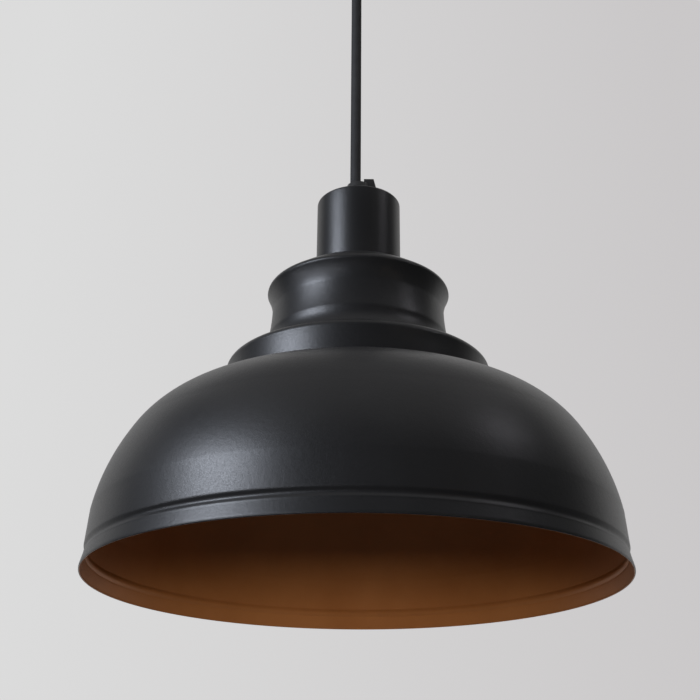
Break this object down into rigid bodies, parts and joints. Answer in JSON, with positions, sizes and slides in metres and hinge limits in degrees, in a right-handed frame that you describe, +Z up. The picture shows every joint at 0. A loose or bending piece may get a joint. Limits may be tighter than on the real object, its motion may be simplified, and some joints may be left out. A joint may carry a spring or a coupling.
{
  "type": "pendant ceiling light",
  "caption": "Spun steel dome pendant with a stepped neck, an E27 lampholder under a straight cup, a bulb, and a round flex to a ceiling cup.",
  "frame": {"origin": "on the ceiling face, at the middle of the ceiling cup", "axes": "+Z up into the ceiling, along the lamp's axis; +X towards the clamp screw of the cord grip; the lamp hangs towards -Z"},
  "size_m": [0.29, 0.29, 0.475],
  "materials": {
    "black_paint": "satin black powder coat",
    "bronze_paint": "satin copper-bronze paint on the inside of the shade",
    "zinc_steel": "zinc-plated steel",
    "black_nylon": "satin moulded nylon",
    "black_bakelite": "moulded phenolic",
    "black_sheath": "satin black flex sheath",
    "brass": "pressed brass",
    "brown_core": "PVC insulation",
    "blue_core": "PVC insulation",
    "green_yellow_core": "PVC insulation with a stripe",
    "ivory_nylon": "translucent nylon",
    "porcelain": "glazed porcelain",
    "solder": "solder",
    "nickel": "nickel-plated brass",
    "black_glass": "fused glass",
    "white_plastic": "moulded plastic",
    "board": "aluminium circuit board",
    "opal_glass": "opal glass"
  },
  "bodies": {
    "ceiling": {"mounting_plate": "zinc_steel", "canopy": "black_paint", "canopy_screws": "zinc_steel", "canopy_grip": "black_nylon", "canopy_grip_nut": "zinc_steel", "canopy_grip_screw": "zinc_steel", "terminal_block": "ivory_nylon", "terminal_barrels": "brass", "terminal_screws": "zinc_steel", "block_screw": "zinc_steel", "earth_screw": "zinc_steel", "earth_tag": "brass", "live_core_top": "brown_core", "neutral_core_top": "blue_core", "earth_core_top": "green_yellow_core", "flex_top": "black_sheath"},
    "flex_bend": {"flex_bend": "black_sheath"},
    "flex_neck": {"flex_neck": "black_sheath"},
    "lamp": {"flex": "black_sheath", "lamp_grip": "black_nylon", "lamp_grip_screw": "zinc_steel", "holder_cup": "black_paint", "cup_nut": "zinc_steel", "holder_cap": "black_bakelite", "holder_skirt": "black_bakelite", "holder_insert": "porcelain", "screw_shell": "brass", "centre_contact": "brass", "side_contact": "brass", "holder_screws": "zinc_steel", "live_core": "brown_core", "neutral_core": "blue_core", "earth_core": "green_yellow_core", "cup_earth_screw": "zinc_steel"},
    "shade": {"shade": "black_paint"},
    "shade_ring": {"shade_ring": "black_bakelite"},
    "bulb_tip": {"bulb_tip": "solder"},
    "bulb": {"bulb_cap": "nickel", "bulb_insulator": "black_glass", "bulb_housing": "white_plastic", "led_board": "board", "bulb_globe": "opal_glass"}
  },
  "joints": [
    {"name": "swing_front", "type": "hinge", "parent": "ceiling", "child": "flex_bend", "pos_m": [0, 0, -0.044], "axis": [1, 0, 0], "range_deg": [-12, 12]},
    {"name": "swing_side", "type": "hinge", "parent": "flex_bend", "child": "flex_neck", "pos_m": [0, 0, -0.044], "axis": [0, 1, 0], "range_deg": [-12, 12]},
    {"name": "twist", "type": "hinge", "parent": "flex_neck", "child": "lamp", "pos_m": [0, 0, -0.044], "axis": [0, 0, 1], "range_deg": [-180, 180]},
    {"name": "shade_drop", "type": "slide", "parent": "lamp", "child": "shade", "axis": [0, 0, -1], "range_m": [0, 0.01]},
    {"name": "ring_turn", "type": "hinge", "parent": "shade", "child": "shade_ring", "pos_m": [0, 0, -0.295], "axis": [0, 0, -1], "range_deg": [0, 1200]},
    {"name": "bulb_travel", "type": "slide", "parent": "lamp", "child": "bulb_tip", "axis": [0, 0, -1], "range_m": [0, 0.0254]},
    {"name": "bulb_turn", "type": "hinge", "parent": "bulb_tip", "child": "bulb", "pos_m": [0, 0, -0.29], "axis": [0, 0, -1], "range_deg": [0, 2520]}
  ],
  "couplings": [
    {"joint": "ring_turn", "follows": "shade_drop", "rad_per_m": 2094.4},
    {"joint": "bulb_turn", "follows": "bulb_travel", "rad_per_m": 1731.4}
  ]
}
